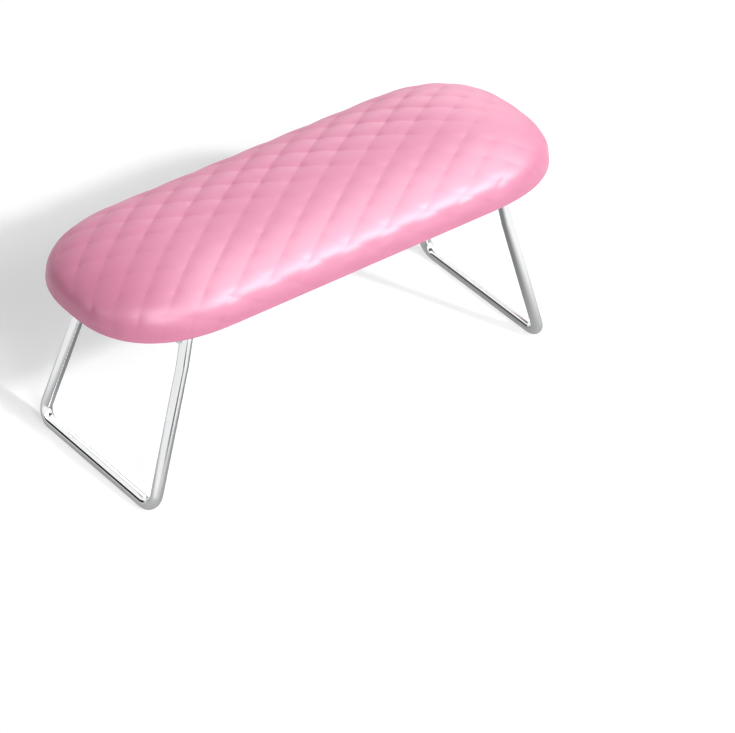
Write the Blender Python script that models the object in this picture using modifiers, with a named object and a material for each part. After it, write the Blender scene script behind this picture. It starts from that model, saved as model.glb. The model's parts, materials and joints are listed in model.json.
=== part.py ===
"""Folding manicure hand rest: a quilted pad on two bent rod legs that fold up under it.

Blender 4.5, metres, +Z up. The origin is on the table under the middle of the pad, and +X runs along the pad.
"""

import math

import bmesh
import bpy
from mathutils import Matrix, Vector

# Pad. Its lower edge is an outline with full, rounded ends, and it rises to a flat crown over steep shoulders.
PAD_LENGTH = 0.340
PAD_WIDTH = 0.124
PAD_RISE = 0.029
EDGE_HEIGHT = 0.121
END_REACH = 0.0775
END_FULLNESS = 2.54
CROWN_POWER = 2.0
SHOULDER_POWER = 3.0

# Quilting, embossed in the cover: diamonds with soft crowns between narrow grooves.
DIAMOND_LENGTH = 0.0290
DIAMOND_WIDTH = 0.0193
DIAMOND_CELLS = 3
DIAMOND_SHIFT = -0.0035
DIAMOND_PHASE = 0.25
QUILT_DEPTH = 0.0010
QUILT_SOFTNESS = 3.0
QUILT_FADE = 0.014
CELL_MERGE = 0.125

# Cover, foam, board and lining
COVER_WALL = 0.0012
TURN_IN = 0.009
BOARD_THICKNESS = 0.006
LINING_THICKNESS = 0.0008
LINING_MARGIN = 0.005
LINING_STEP = 0.0015

# Legs: one bent rod each. The foot and the knee are corners of the rod's centre line.
ROD_DIAMETER = 0.0075
FOOT_SPREAD = 0.0258
FOOT_INSET = 0.0063
FOOT_BEND = 0.0090
KNEE_DROP = 0.02435
KNEE_NARROWING = 0.0098
KNEE_BEND = 0.0300
UPPER_LEAN = math.radians(12.5)
UPPER_FLARE = math.radians(6.3)
TOP_BEND = 0.0080
PIN_PROUD = 0.0028

# Brackets, pressed from sheet steel: two ears, a hump over the leg's pin and a tab that stops the open leg.
SHEET_STEEL = 0.0012
SHEET_BEND = 0.0015
EAR_LENGTH = 0.0130
EAR_CORNER = 0.0030
EDGE_BREAK = 0.0002
HUMP_WIDTH = 0.0155
HUMP_SETBACK = 0.0007
TAB_WIDTH = 0.0090
TAB_ROOT = 0.0050
TAB_RELIEF = 0.0015
TAB_DEPTH = 0.0100
BRACKET_MARGIN = 0.0026

# Screws with a pan head and a cross recess
SCREW_DIAMETER = 0.0030
SCREW_BITE = 0.0048
SCREW_POINT = 0.0014
HEAD_DIAMETER = 0.0060
HEAD_HEIGHT = 0.0020
HEAD_ROUNDING = ((1.0, 0.35), (0.85, 0.78), (0.5, 0.97))
RECESS_WIDTH = 0.0009
RECESS_LENGTH = 0.0034
RECESS_DEPTH = 0.0011
SCREW_TURN = math.radians(35)

# Gap between pieces that touch, and how finely round things are divided
FIT = 0.0003
END_STEPS = 18
DOME_STEPS = 9
ARC_STEPS = 60
BEND_STEPS = 6
SHEET_STEPS = 4
CORNER_STEPS = 3
SCREW_STEPS = 16
ROD_RESOLUTION = 6
ROUND_PROFILE = 0.5
MERGE = 0.00001
SHARP_ANGLE = math.radians(35)
BREAK_ANGLE = math.radians(50)

# Worked out from the sizes above
ROD_RADIUS = ROD_DIAMETER / 2
SPINE = PAD_LENGTH / 2 - END_REACH
CORE_INSET = COVER_WALL + QUILT_DEPTH
BOARD_BOTTOM = EDGE_HEIGHT + COVER_WALL + FIT
BOARD_TOP = BOARD_BOTTOM + BOARD_THICKNESS
LINING_TOP = BOARD_BOTTOM - FIT
LINING_BOTTOM = LINING_TOP - LINING_THICKNESS
PIVOT_HEIGHT = LINING_BOTTOM - FIT - ROD_RADIUS
FOOT_HALF_SPAN = PAD_WIDTH / 2 - FOOT_INSET
KNEE_HALF_SPAN = FOOT_HALF_SPAN - KNEE_NARROWING
TOP_HALF_SPAN = KNEE_HALF_SPAN - KNEE_DROP * math.tan(UPPER_FLARE)
EAR_TOP = LINING_BOTTOM - FIT
EAR_BOTTOM = EAR_TOP - SHEET_STEEL
HUMP_RADIUS = ROD_RADIUS + FIT + SHEET_STEEL / 2
EAR_START = HUMP_RADIUS + SHEET_BEND
EAR_END = EAR_START + EAR_LENGTH
SCREW_REACH = EAR_START + EAR_LENGTH / 2
HUMP_OUTER = TOP_HALF_SPAN - TOP_BEND - HUMP_SETBACK
HUMP_INNER = HUMP_OUTER - HUMP_WIDTH
SCREW_SPAN = (HUMP_INNER + HUMP_OUTER) / 2
TAB_INNER = HUMP_OUTER + TAB_RELIEF
TAB_OUTER = TAB_INNER + TAB_WIDTH
TAB_START = EAR_START + SHEET_BEND
HOLE_RADIUS = SCREW_DIAMETER / 2 + FIT

# The brackets sit as far out as the tab's ear stays on the flat part of the lining
STEP_INSET = TURN_IN + FIT + LINING_STEP
FLAT_SHARE = 1 - (TAB_OUTER / (PAD_WIDTH / 2 - STEP_INSET)) ** END_FULLNESS
FLAT_REACH = SPINE + (END_REACH - STEP_INSET) * FLAT_SHARE ** (1 / END_FULLNESS)
PIVOT_REACH = FLAT_REACH - BRACKET_MARGIN - TAB_ROOT - TAB_START
KNEE_HEIGHT = PIVOT_HEIGHT - KNEE_DROP
KNEE_REACH = PIVOT_REACH + KNEE_DROP * math.tan(UPPER_LEAN)
FOOT_REACH = KNEE_REACH + FOOT_SPREAD


def clear_scene():
    for old in list(bpy.data.objects):
        bpy.data.objects.remove(old, do_unlink=True)


def make_collection(name):
    collection = bpy.data.collections.new(name)
    bpy.context.scene.collection.children.link(collection)
    return collection


def material(name, colour, roughness, metallic=0.0):
    """A Principled finish. The colour is linear RGB."""
    made = bpy.data.materials.new(name)
    made.use_nodes = True
    shader = made.node_tree.nodes["Principled BSDF"]
    shader.inputs["Base Color"].default_value = (*colour, 1.0)
    shader.inputs["Roughness"].default_value = roughness
    shader.inputs["Metallic"].default_value = metallic
    made.diffuse_color = (*colour, 1.0)
    return made


def add_object(name, data, collection, finish=None):
    made = bpy.data.objects.new(name, data)
    collection.objects.link(made)
    if finish is not None:
        data.materials.append(finish)
    return made


def object_from(bm, name, collection, finish=None):
    """Turns a bmesh into an object, smooth apart from its sharp edges."""
    mesh = bpy.data.meshes.new(name)
    bm.to_mesh(mesh)
    bm.free()
    mesh.shade_smooth()
    mesh.set_sharp_from_angle(angle=SHARP_ANGLE)
    return add_object(name, mesh, collection, finish)


def evaluated_copy(source, name):
    """The mesh of an object as its modifiers or its curve give it, with loose caps welded."""
    graph = bpy.context.evaluated_depsgraph_get()
    mesh = bpy.data.meshes.new_from_object(source.evaluated_get(graph), depsgraph=graph)
    mesh.name = name
    bm = bmesh.new()
    bm.from_mesh(mesh)
    bmesh.ops.remove_doubles(bm, verts=bm.verts, dist=MERGE)
    bm.to_mesh(mesh)
    bm.free()
    return mesh


def as_cutter(cutter):
    cutter.hide_render = True
    cutter.display_type = "WIRE"
    return cutter


def cut(target, cutter):
    """Takes the cutter's shape out of the target."""
    boolean = target.modifiers.new("cut_" + cutter.name, "BOOLEAN")
    boolean.operation = "DIFFERENCE"
    boolean.solver = "EXACT"
    boolean.object = cutter


def outline_reach(angle, inset=0.0):
    """Distance from the spine's end to the pad's outline, drawn in by inset, in a direction of the plan."""
    along = abs(math.cos(angle)) / (END_REACH - inset)
    across = abs(math.sin(angle)) / (PAD_WIDTH / 2 - inset)
    return (along**END_FULLNESS + across**END_FULLNESS) ** (-1 / END_FULLNESS)


def plan_outline(inset):
    """Corners of the pad's outline, drawn in by inset, anticlockwise: two rounded ends on a straight spine."""
    corners = []
    for end in (1, -1):
        for step in range(END_STEPS + 1):
            angle = -math.pi / 2 + math.pi * step / END_STEPS
            reach = outline_reach(angle, inset)
            x = SPINE + reach * math.cos(angle)
            corners.append(Vector((end * x, end * reach * math.sin(angle), 0.0)))
    return corners


def on_spine(point):
    """Nearest point of the spine, the pad's middle line between its rounded ends."""
    return Vector((max(-SPINE, min(SPINE, point.x)), 0.0, 0.0))


def plate(name, inset, low, thickness, collection, finish=None):
    """A flat plate of the pad's outline, as a mesh."""
    curve = bpy.data.curves.new(name, "CURVE")
    curve.dimensions = "2D"
    curve.fill_mode = "BOTH"
    curve.extrude = thickness / 2
    corners = plan_outline(inset)
    spline = curve.splines.new("POLY")
    spline.points.add(len(corners) - 1)
    for point, corner in zip(spline.points, corners):
        point.co = (corner.x, corner.y, 0.0, 1.0)
    spline.use_cyclic_u = True
    drawn = add_object(name + "_outline", curve, collection)
    mesh = evaluated_copy(drawn, name)
    bpy.data.objects.remove(drawn, do_unlink=True)
    made = add_object(name, mesh, collection, finish)
    made.location.z = low + thickness / 2
    return made


def dome_profile(rise):
    """The dome's section from crown to edge, as pairs of spread, from 0 to 1, and height above the edge."""
    section = []
    for step in range(ARC_STEPS + 1):
        turn = math.pi / 2 * (1 - step / ARC_STEPS)
        spread = max(0.0, math.cos(turn)) ** (2 / CROWN_POWER)
        height = rise * max(0.0, math.sin(turn)) ** (2 / SHOULDER_POWER)
        section.append((spread, height))
    return section


def dome_spread(height, rise):
    """How far the dome spreads, as a share of its outline, at a height above its edge."""
    return (1 - (height / rise) ** SHOULDER_POWER) ** (1 / CROWN_POWER)


def dome_height(spread, rise):
    return rise * (1 - spread**CROWN_POWER) ** (1 / SHOULDER_POWER)


def dome_normal(point):
    """Outward normal of the pad's own surface at a point on it."""
    offset = point - on_spine(point)
    along = abs(offset.x) / END_REACH
    across = abs(offset.y) / (PAD_WIDTH / 2)
    spread = (along**END_FULLNESS + across**END_FULLNESS) ** (1 / END_FULLNESS)
    rise = max(0.0, point.z - EDGE_HEIGHT) / PAD_RISE
    upward = SHOULDER_POWER * rise ** (SHOULDER_POWER - 1) / PAD_RISE
    if spread < MERGE:
        return Vector((0.0, 0.0, 1.0))
    sideways = CROWN_POWER * spread ** (CROWN_POWER - END_FULLNESS)
    x = math.copysign(sideways * along ** (END_FULLNESS - 1) / END_REACH, offset.x)
    y = math.copysign(sideways * across ** (END_FULLNESS - 1) / (PAD_WIDTH / 2), offset.y)
    return Vector((x, y, upward)).normalized()


def dome_solid(name, inset, base, collection, finish=None):
    """A smooth dome inside the pad's surface, from a flat base to the crown, raised ring by ring."""
    rise = PAD_RISE - inset
    first = dome_spread(base - EDGE_HEIGHT, rise)
    bm = bmesh.new()
    corners = plan_outline(inset)
    for corner in corners:
        centre = on_spine(corner)
        bm.verts.new(centre + (corner - centre) * first + Vector((0.0, 0.0, base)))
    cap = bm.faces.new(bm.verts)
    spread = first
    for step in range(1, DOME_STEPS + 1):
        turn = math.pi / 2 * step / (DOME_STEPS + 1)
        wider = first * math.cos(turn) ** (2 / CROWN_POWER)
        lower = cap
        raised = bmesh.ops.extrude_face_region(bm, geom=[lower])
        cap = next(item for item in raised["geom"] if isinstance(item, bmesh.types.BMFace))
        if step > 1:
            bmesh.ops.delete(bm, geom=[lower], context="FACES_ONLY")
        for vert in cap.verts:
            centre = on_spine(vert.co)
            flat = Vector((vert.co.x, vert.co.y, 0.0))
            placed = centre + (flat - centre) * (wider / spread)
            placed.z = EDGE_HEIGHT + dome_height(wider, rise)
            vert.co = placed
        spread = wider
    bmesh.ops.recalc_face_normals(bm, faces=bm.faces)
    return object_from(bm, name, collection, finish)


class Drape:
    """Lays a flat sheet over the pad: a length along the sheet becomes the same length along the dome."""

    def __init__(self):
        self.section = dome_profile(PAD_RISE)

    def along(self, reach):
        """Running lengths of the section where the outline is at this reach."""
        lengths = [0.0]
        for before, after in zip(self.section, self.section[1:]):
            step = math.hypot((after[0] - before[0]) * reach, after[1] - before[1])
            lengths.append(lengths[-1] + step)
        return lengths

    def sheet_reach(self, angle):
        return self.along(outline_reach(angle))[-1]

    def place(self, flat):
        """The point of the dome under a point of the sheet, and how much sheet is left to the edge."""
        centre = on_spine(flat)
        offset = flat - centre
        length = offset.length
        if length < MERGE:
            return Vector((flat.x, flat.y, EDGE_HEIGHT + PAD_RISE)), END_REACH
        reach = outline_reach(math.atan2(offset.y, offset.x))
        lengths = self.along(reach)
        left = lengths[-1] - length
        index = 1
        while index < ARC_STEPS and lengths[index] < length:
            index += 1
        span = lengths[index] - lengths[index - 1]
        share = min(1.0, (length - lengths[index - 1]) / span)
        before = self.section[index - 1]
        after = self.section[index]
        spread = before[0] + (after[0] - before[0]) * share
        height = before[1] + (after[1] - before[1]) * share
        placed = centre + offset * (spread * reach / length)
        placed.z = EDGE_HEIGHT + height
        return placed, left


def quilt_groove(flat):
    """Depth of the groove at a point of the sheet: 1 on the lines between diamonds, 0 over their crowns."""
    along = (flat.x - DIAMOND_SHIFT) / DIAMOND_LENGTH
    across = flat.y / DIAMOND_WIDTH - DIAMOND_PHASE
    crown = 1.0
    for turn in (along + across, along - across):
        share = turn - math.floor(turn)
        crown *= 1 - abs(2 * share - 1) ** QUILT_SOFTNESS
    return 1 - crown


def quilted_dome(name, collection, finish=None):
    """The pad's closed outer form: a sheet divided along its diamonds, trimmed, draped and embossed."""
    drape = Drape()
    cell = Vector((DIAMOND_LENGTH / 2, DIAMOND_WIDTH / 2, 0.0)) / DIAMOND_CELLS
    half_length = SPINE + drape.sheet_reach(0.0)
    half_width = drape.sheet_reach(math.pi / 2)
    reach = half_length / cell.x + half_width / cell.y
    count = 2 * (int(reach / 2 / DIAMOND_CELLS) + 2) * DIAMOND_CELLS
    bm = bmesh.new()
    bmesh.ops.create_grid(bm, x_segments=count, y_segments=count, size=count / 2)
    start = Vector((DIAMOND_SHIFT, DIAMOND_PHASE * DIAMOND_WIDTH, 0.0))
    for vert in bm.verts:
        right = vert.co.x + vert.co.y
        up = vert.co.x - vert.co.y
        vert.co = start + Vector((right * cell.x, up * cell.y, 0.0))
    trim_sheet(bm, drape)
    groove = [quilt_groove(vert.co) for vert in bm.verts]
    for vert, depth in zip(bm.verts, groove):
        placed, left = drape.place(vert.co)
        fade = max(0.0, min(1.0, left / QUILT_FADE))
        if vert.is_boundary:
            fade = 0.0
            placed.z = EDGE_HEIGHT
        vert.co = placed - dome_normal(placed) * (QUILT_DEPTH * depth * fade)
    edges = [edge for edge in bm.edges if edge.is_boundary]
    bmesh.ops.holes_fill(bm, edges=edges, sides=0)
    bmesh.ops.recalc_face_normals(bm, faces=bm.faces)
    return object_from(bm, name, collection, finish)


def trim_sheet(bm, drape):
    """Cuts the flat sheet along the line that ends up on the pad's lower edge."""
    rim = []
    for end in (1, -1):
        for step in range(2 * END_STEPS + 1):
            angle = -math.pi / 2 + math.pi * step / (2 * END_STEPS)
            reach = drape.sheet_reach(angle)
            x = SPINE + reach * math.cos(angle)
            rim.append(Vector((end * x, end * reach * math.sin(angle), 0.0)))
    for index, here in enumerate(rim):
        ahead = rim[(index + 1) % len(rim)]
        outward = Vector((ahead.y - here.y, here.x - ahead.x, 0.0))
        geometry = bm.verts[:] + bm.edges[:] + bm.faces[:]
        bmesh.ops.bisect_plane(bm, geom=geometry, plane_co=here, plane_no=outward, clear_outer=True)
    bmesh.ops.remove_doubles(bm, verts=bm.verts, dist=CELL_MERGE * DIAMOND_WIDTH / DIAMOND_CELLS)
    snap_rim(bm, drape)


def snap_rim(bm, drape):
    """Moves the cut sheet's border onto the trim line exactly."""
    for vert in bm.verts:
        if vert.is_boundary:
            centre = on_spine(vert.co)
            offset = vert.co - centre
            reach = drape.sheet_reach(math.atan2(offset.y, offset.x))
            vert.co = centre + offset * (reach / offset.length)


def screw_places():
    """Place in the plan of each bracket screw, one through each ear."""
    places = []
    for side in (1, -1):
        for flank in (1, -1):
            for ear in (1, -1):
                places.append((side * (PIVOT_REACH + ear * SCREW_REACH), flank * SCREW_SPAN))
    return places


def hole_cutters(name, radius, low, high, collection):
    """One cutter for the screw holes between two heights."""
    bm = bmesh.new()
    for x, y in screw_places():
        place = Matrix.Translation((x, y, (low + high) / 2))
        bmesh.ops.create_cone(
            bm,
            cap_ends=True,
            segments=SCREW_STEPS,
            radius1=radius,
            radius2=radius,
            depth=high - low,
            matrix=place,
        )
    return as_cutter(object_from(bm, name, collection))


def make_cover(collection, cutters, finish):
    """The cover: quilted outside, smooth inside, and turned in under the board all round."""
    cover = quilted_dome("cover", collection, finish)
    core = dome_solid("cover_core", CORE_INSET, EDGE_HEIGHT + COVER_WALL, cutters)
    low = EDGE_HEIGHT - COVER_WALL
    high = EDGE_HEIGHT + 2 * COVER_WALL
    mouth = plate("cover_mouth", TURN_IN, low, high - low, cutters)
    for cutter in (core, mouth):
        cut(cover, as_cutter(cutter))
    return cover


def make_foam(collection, finish):
    return dome_solid("foam_pad", CORE_INSET + FIT, BOARD_TOP + FIT, collection, finish)


def make_board(collection, cutters, finish):
    """The board inside the cover, with a blind hole for each screw."""
    rise = PAD_RISE - CORE_INSET
    narrowing = END_REACH * (1 - dome_spread(BOARD_TOP - EDGE_HEIGHT, rise))
    inset = CORE_INSET + narrowing + FIT
    board = plate("base_board", inset, BOARD_BOTTOM, BOARD_THICKNESS, collection, finish)
    top = BOARD_BOTTOM + SCREW_BITE + FIT
    cut(board, hole_cutters("board_holes", HOLE_RADIUS, BOARD_BOTTOM - FIT, top, cutters))
    return board


def make_lining(collection, cutters, finish):
    """The cloth under the board. It steps down over the turned-in edge of the cover.

    Its flat part is made of two ends, which carry the brackets, and a clear rectangle between them.
    """
    middle = LINING_THICKNESS / 2
    border = EDGE_HEIGHT - FIT - middle
    levels = [
        (LINING_MARGIN, border),
        (TURN_IN + FIT, border),
        (STEP_INSET, LINING_TOP - middle),
    ]
    bm = bmesh.new()
    rings = []
    for inset, height in levels:
        ring = [bm.verts.new(corner + Vector((0.0, 0.0, height))) for corner in plan_outline(inset)]
        rings.append(ring)
    for lower, upper in zip(rings, rings[1:]):
        for index in range(len(lower)):
            ahead = (index + 1) % len(lower)
            bm.faces.new((lower[index], lower[ahead], upper[ahead], upper[index]))
    half = len(rings[-1]) // 2
    right = rings[-1][:half]
    left = rings[-1][half:]
    for part in (right, left, [right[0], right[-1], left[0], left[-1]]):
        bm.faces.new(part)
    bmesh.ops.recalc_face_normals(bm, faces=bm.faces)
    lining = object_from(bm, "bottom_lining", collection, finish)
    solidify = lining.modifiers.new("cloth", "SOLIDIFY")
    solidify.thickness = LINING_THICKNESS
    solidify.offset = 0.0
    solidify.use_even_offset = True
    low = LINING_BOTTOM - LINING_THICKNESS
    high = LINING_TOP + LINING_THICKNESS
    cut(lining, hole_cutters("lining_holes", HOLE_RADIUS, low, high, cutters))
    return lining


def rounded_path(corners, radii, steps):
    """Points along a line of corners, each rounded by an arc of its radius in so many steps."""
    points = [corners[0]]
    for before, corner, after, radius in zip(corners, corners[1:], corners[2:], radii):
        into = (corner - before).normalized()
        out = (after - corner).normalized()
        turn = into.angle(out)
        tangent = radius * math.tan(turn / 2)
        first = corner - into * tangent
        inward = (out - into * into.dot(out)).normalized()
        centre = first + inward * radius
        for step in range(steps + 1):
            angle = turn * step / steps
            arm = into * math.sin(angle) - inward * math.cos(angle)
            points.append(centre + arm * radius)
    points.append(corners[-1])
    return points


def leg_corners():
    """Corners of a leg's centre line for +X, seen from its pivot: pin, top, knee, foot and back."""
    pivot = Vector((PIVOT_REACH, 0.0, PIVOT_HEIGHT))
    half = [
        Vector((PIVOT_REACH, HUMP_INNER - PIN_PROUD, PIVOT_HEIGHT)) - pivot,
        Vector((PIVOT_REACH, TOP_HALF_SPAN, PIVOT_HEIGHT)) - pivot,
        Vector((KNEE_REACH, KNEE_HALF_SPAN, KNEE_HEIGHT)) - pivot,
        Vector((FOOT_REACH, FOOT_HALF_SPAN, ROD_RADIUS)) - pivot,
    ]
    mirrored = [Vector((corner.x, -corner.y, corner.z)) for corner in reversed(half)]
    return half + mirrored


def make_leg(name, side, collection, finish):
    """One leg: a rod bent into a flared U, with its two pins turned in. Its origin is on the pins' axis."""
    hinge = bpy.data.objects.new(name + "_axis", None)
    hinge.location = (side * PIVOT_REACH, 0.0, PIVOT_HEIGHT)
    hinge.rotation_euler.z = 0.0 if side > 0 else math.pi
    collection.objects.link(hinge)
    bends = [TOP_BEND, KNEE_BEND, FOOT_BEND]
    points = rounded_path(leg_corners(), bends + bends[::-1], BEND_STEPS)
    curve = bpy.data.curves.new(name, "CURVE")
    curve.dimensions = "3D"
    curve.bevel_depth = ROD_RADIUS
    curve.bevel_resolution = ROD_RESOLUTION
    curve.use_fill_caps = True
    spline = curve.splines.new("POLY")
    spline.points.add(len(points) - 1)
    for target, point in zip(spline.points, points):
        target.co = (*point, 1.0)
    leg = add_object(name, curve, collection, finish)
    leg.parent = hinge
    return leg


def bracket_sections():
    """Middle lines of the bracket's sheet seen along the pin, from the pin's axis: the hump and the stop tab."""
    ear = EAR_TOP - SHEET_STEEL / 2 - PIVOT_HEIGHT
    lean_along = Vector((math.sin(UPPER_LEAN), 0.0, -math.cos(UPPER_LEAN)))
    lean_out = Vector((math.cos(UPPER_LEAN), 0.0, math.sin(UPPER_LEAN)))
    start = lean_out * HUMP_RADIUS
    corner = start + lean_along * ((start.z - ear) / math.cos(UPPER_LEAN))
    tip = start + lean_along * ((start.z + TAB_DEPTH) / math.cos(UPPER_LEAN))
    flat = Vector((TAB_START, 0.0, ear))
    tab = rounded_path([flat, corner, tip], [SHEET_BEND], SHEET_STEPS)
    hump = rounded_path(
        [
            Vector((-EAR_END, 0.0, ear)),
            Vector((-HUMP_RADIUS, 0.0, ear)),
            Vector((-HUMP_RADIUS, 0.0, -HUMP_RADIUS)),
            Vector((HUMP_RADIUS, 0.0, -HUMP_RADIUS)),
            Vector((HUMP_RADIUS, 0.0, ear)),
            Vector((EAR_END, 0.0, ear)),
        ],
        [SHEET_BEND, HUMP_RADIUS, HUMP_RADIUS, SHEET_BEND],
        SHEET_STEPS,
    )
    return hump, tab


def bracket_sheet(flank):
    """The bracket's middle surface, as one open sheet of faces, on the +Y or the -Y side of the leg."""
    hump, tab = bracket_sections()
    bm = bmesh.new()

    def strip(section, inner, outer):
        for before, after in zip(section, section[1:]):
            corners = []
            for point, span in ((before, inner), (after, inner), (after, outer), (before, outer)):
                corners.append(bm.verts.new((point.x, flank * span, point.z)))
            bm.faces.new(corners)

    root = [tab[0], tab[0] + Vector((TAB_ROOT, 0.0, 0.0))]
    bend = [point for point in hump if point.x < tab[0].x]
    strip(bend + root + [hump[-1]], HUMP_INNER, HUMP_OUTER)
    strip(root, HUMP_OUTER, TAB_INNER)
    strip(root, TAB_INNER, TAB_OUTER)
    strip(tab, TAB_INNER, TAB_OUTER)
    bmesh.ops.remove_doubles(bm, verts=bm.verts, dist=MERGE)
    corners = [vert for vert in bm.verts if len(vert.link_edges) == 2 and abs(vert.co.x) > EAR_START]
    bmesh.ops.bevel(
        bm,
        geom=corners,
        affect="VERTICES",
        offset=EAR_CORNER,
        offset_type="OFFSET",
        segments=CORNER_STEPS,
        profile=ROUND_PROFILE,
    )
    bmesh.ops.recalc_face_normals(bm, faces=bm.faces)
    return bm


def make_bracket(name, side, flank, collection, cutters, finish):
    """One hinge bracket, in the place where it is screwed on."""
    bracket = object_from(bracket_sheet(side * flank), name, collection, finish)
    solidify = bracket.modifiers.new("sheet_steel", "SOLIDIFY")
    solidify.thickness = SHEET_STEEL
    solidify.offset = 0.0
    solidify.use_even_offset = True
    bracket.location = (side * PIVOT_REACH, 0.0, PIVOT_HEIGHT)
    bracket.rotation_euler.z = 0.0 if side > 0 else math.pi
    cut(bracket, cutters)
    rounding = bracket.modifiers.new("sheared_edge", "BEVEL")
    rounding.width = EDGE_BREAK
    rounding.segments = 1
    rounding.limit_method = "ANGLE"
    rounding.angle_limit = BREAK_ANGLE
    return bracket


def screw_mesh(collection, finish):
    """A pan head screw, its head down and its point up, with the origin under the head."""
    radius = SCREW_DIAMETER / 2
    length = BOARD_BOTTOM + SCREW_BITE - (EAR_BOTTOM - FIT)
    head = HEAD_DIAMETER / 2
    profile = [
        (0.0, length),
        (radius, length - SCREW_POINT),
        (radius, 0.0),
        (head, 0.0),
    ]
    for width, depth in HEAD_ROUNDING:
        profile.append((head * width, -HEAD_HEIGHT * depth))
    profile.append((0.0, -HEAD_HEIGHT))
    bm = bmesh.new()
    verts = [bm.verts.new((x, 0.0, z)) for x, z in profile]
    for before, after in zip(verts, verts[1:]):
        bm.edges.new((before, after))
    turned = object_from(bm, "turned_screw", collection)
    screw = turned.modifiers.new("turn", "SCREW")
    screw.steps = SCREW_STEPS
    screw.render_steps = SCREW_STEPS
    screw.use_merge_vertices = True
    screw.merge_threshold = MERGE
    recess = bmesh.new()
    for arm in ((RECESS_LENGTH, RECESS_WIDTH), (RECESS_WIDTH, RECESS_LENGTH)):
        scale = Matrix.Diagonal((arm[0], arm[1], 2 * RECESS_DEPTH, 1.0))
        place = Matrix.Translation((0.0, 0.0, -HEAD_HEIGHT)) @ scale
        bmesh.ops.create_cube(recess, size=1.0, matrix=place)
    cross = as_cutter(object_from(recess, "screw_recess", collection))
    cut(turned, cross)
    turned.modifiers[-1].use_self = True
    mesh = evaluated_copy(turned, "bracket_screw")
    mesh.materials.clear()
    mesh.materials.append(finish)
    bpy.data.objects.remove(turned, do_unlink=True)
    bpy.data.objects.remove(cross, do_unlink=True)
    return mesh


def make_screws(collection, cutters, finish):
    mesh = screw_mesh(cutters, finish)
    for number, (x, y) in enumerate(screw_places(), start=1):
        screw = bpy.data.objects.new(f"bracket_screw_{number}", mesh)
        collection.objects.link(screw)
        screw.location = (x, y, EAR_BOTTOM - FIT)
        screw.rotation_euler.z = SCREW_TURN * number


def main():
    clear_scene()
    parts = make_collection("manicure_hand_rest")
    cutters = make_collection("cutters")
    leatherette = material("leatherette", (0.87, 0.34, 0.50), 0.38)
    foam = material("foam", (0.85, 0.80, 0.62), 0.95)
    fibreboard = material("fibreboard", (0.42, 0.27, 0.15), 0.85)
    cloth = material("lining_cloth", (0.75, 0.33, 0.44), 0.9)
    chrome = material("chrome", (0.86, 0.87, 0.88), 0.08, 1.0)
    zinc = material("zinc_plate", (0.66, 0.67, 0.69), 0.3, 1.0)
    make_cover(parts, cutters, leatherette)
    make_foam(parts, foam)
    make_board(parts, cutters, fibreboard)
    make_lining(parts, cutters, cloth)
    low = EAR_BOTTOM - SHEET_STEEL
    holes = hole_cutters("bracket_holes", HOLE_RADIUS, low, EAR_TOP + SHEET_STEEL, cutters)
    for name, side in (("left", -1), ("right", 1)):
        make_leg(name + "_leg", side, parts, chrome)
        for place, flank in (("front", -1), ("back", 1)):
            make_bracket(f"{name}_{place}_bracket", side, flank, parts, holes, zinc)
    make_screws(parts, cutters, zinc)


main()
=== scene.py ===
# %% [markdown]
# # A folding manicure hand rest
#
# The object is a small cushion on two bent chromed legs. A client lays a wrist on it while the nails are
# done, and afterwards the legs fold up under the cushion. The construction, which is the sizes, the
# hinges and the places of all the pieces, is loaded as a fixed frame. This script makes what the eye sees
# around it: the quilted pink leatherette, the chrome, the cloth underneath, the light and the camera.

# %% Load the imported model
import json
import math

import bmesh
import bpy
import numpy as np
from mathutils import Matrix, Vector, geometry


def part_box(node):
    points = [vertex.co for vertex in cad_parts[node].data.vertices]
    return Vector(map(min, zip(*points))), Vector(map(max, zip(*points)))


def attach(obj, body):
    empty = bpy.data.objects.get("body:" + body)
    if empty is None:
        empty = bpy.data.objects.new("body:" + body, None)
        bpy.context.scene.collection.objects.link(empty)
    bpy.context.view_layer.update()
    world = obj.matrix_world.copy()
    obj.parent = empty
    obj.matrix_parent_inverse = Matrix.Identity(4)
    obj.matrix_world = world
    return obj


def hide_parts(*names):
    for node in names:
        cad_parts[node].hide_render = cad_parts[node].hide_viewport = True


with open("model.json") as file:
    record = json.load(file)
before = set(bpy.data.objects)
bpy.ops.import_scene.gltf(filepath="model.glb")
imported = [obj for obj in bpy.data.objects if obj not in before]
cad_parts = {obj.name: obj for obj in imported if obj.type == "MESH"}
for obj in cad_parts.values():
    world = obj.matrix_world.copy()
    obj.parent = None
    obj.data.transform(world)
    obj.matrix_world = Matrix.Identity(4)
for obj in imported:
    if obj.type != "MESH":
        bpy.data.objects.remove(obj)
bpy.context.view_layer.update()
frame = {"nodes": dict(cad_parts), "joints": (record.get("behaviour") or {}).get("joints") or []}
print("nodes:", len(frame["nodes"]))

# %% [markdown]
# ## The camera
#
# The photograph was taken from above the left front corner with a long lens, so the far end of the pad is
# hardly smaller than the near end. A camera can be placed by hand, but here its place is worked out from
# two angles, a distance and the point it looks at, because those are the numbers that a photographer
# would give. The small roll is the tilt of the camera in the hand.

# %% Camera
VIEW_AZIMUTH = math.radians(-40.92)
VIEW_ELEVATION = math.radians(37.20)
VIEW_ROLL = math.radians(3.43)
VIEW_DISTANCE = 2.7787
VIEW_TARGET = Vector((0.05782, 0.0, -0.01622))
LENS = 220.0
SENSOR = 36.0


def camera_axes():
    """The camera's right, up and backward directions."""
    flat = math.cos(VIEW_ELEVATION)
    back = Vector((math.sin(VIEW_AZIMUTH) * flat, -math.cos(VIEW_AZIMUTH) * flat, math.sin(VIEW_ELEVATION)))
    level = Vector((0.0, 0.0, 1.0)).cross(back).normalized()
    upright = back.cross(level)
    right = level * math.cos(VIEW_ROLL) + upright * math.sin(VIEW_ROLL)
    return right, back.cross(right), back


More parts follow.
